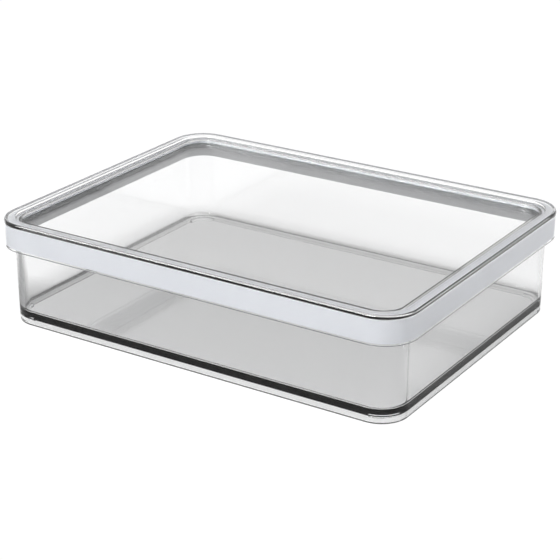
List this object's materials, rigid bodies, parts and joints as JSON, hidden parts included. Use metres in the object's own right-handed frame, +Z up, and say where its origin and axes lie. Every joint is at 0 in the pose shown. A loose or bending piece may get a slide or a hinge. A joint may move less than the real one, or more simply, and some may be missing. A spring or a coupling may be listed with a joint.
{
  "type": "treat container",
  "caption": "Flat rectangular treat container of clear plastic: a tub on a foot rim, and a lift-off clear lid with a recessed top and a soft white seal showing as a band through its skirt.",
  "frame": {"origin": "middle of the footprint, on the surface that the box stands on", "axes": "+X along the long sides, +Y along the short sides, +Z up"},
  "size_m": [0.2, 0.151, 0.0474],
  "materials": {
    "tub_clear": "clear, polished, colourless moulded plastic",
    "lid_clear": "clear, polished, colourless moulded plastic",
    "seal_white": "soft, satin, faintly bluish white"
  },
  "bodies": {
    "tub": {"tub": "tub_clear"},
    "lid": {"lid": "lid_clear", "seal": "seal_white"}
  },
  "joints": [
    {"name": "lid_lift", "type": "slide", "parent": "tub", "child": "lid", "axis": [0, 0, 1], "range_m": [0, 0.06]}
  ]
}
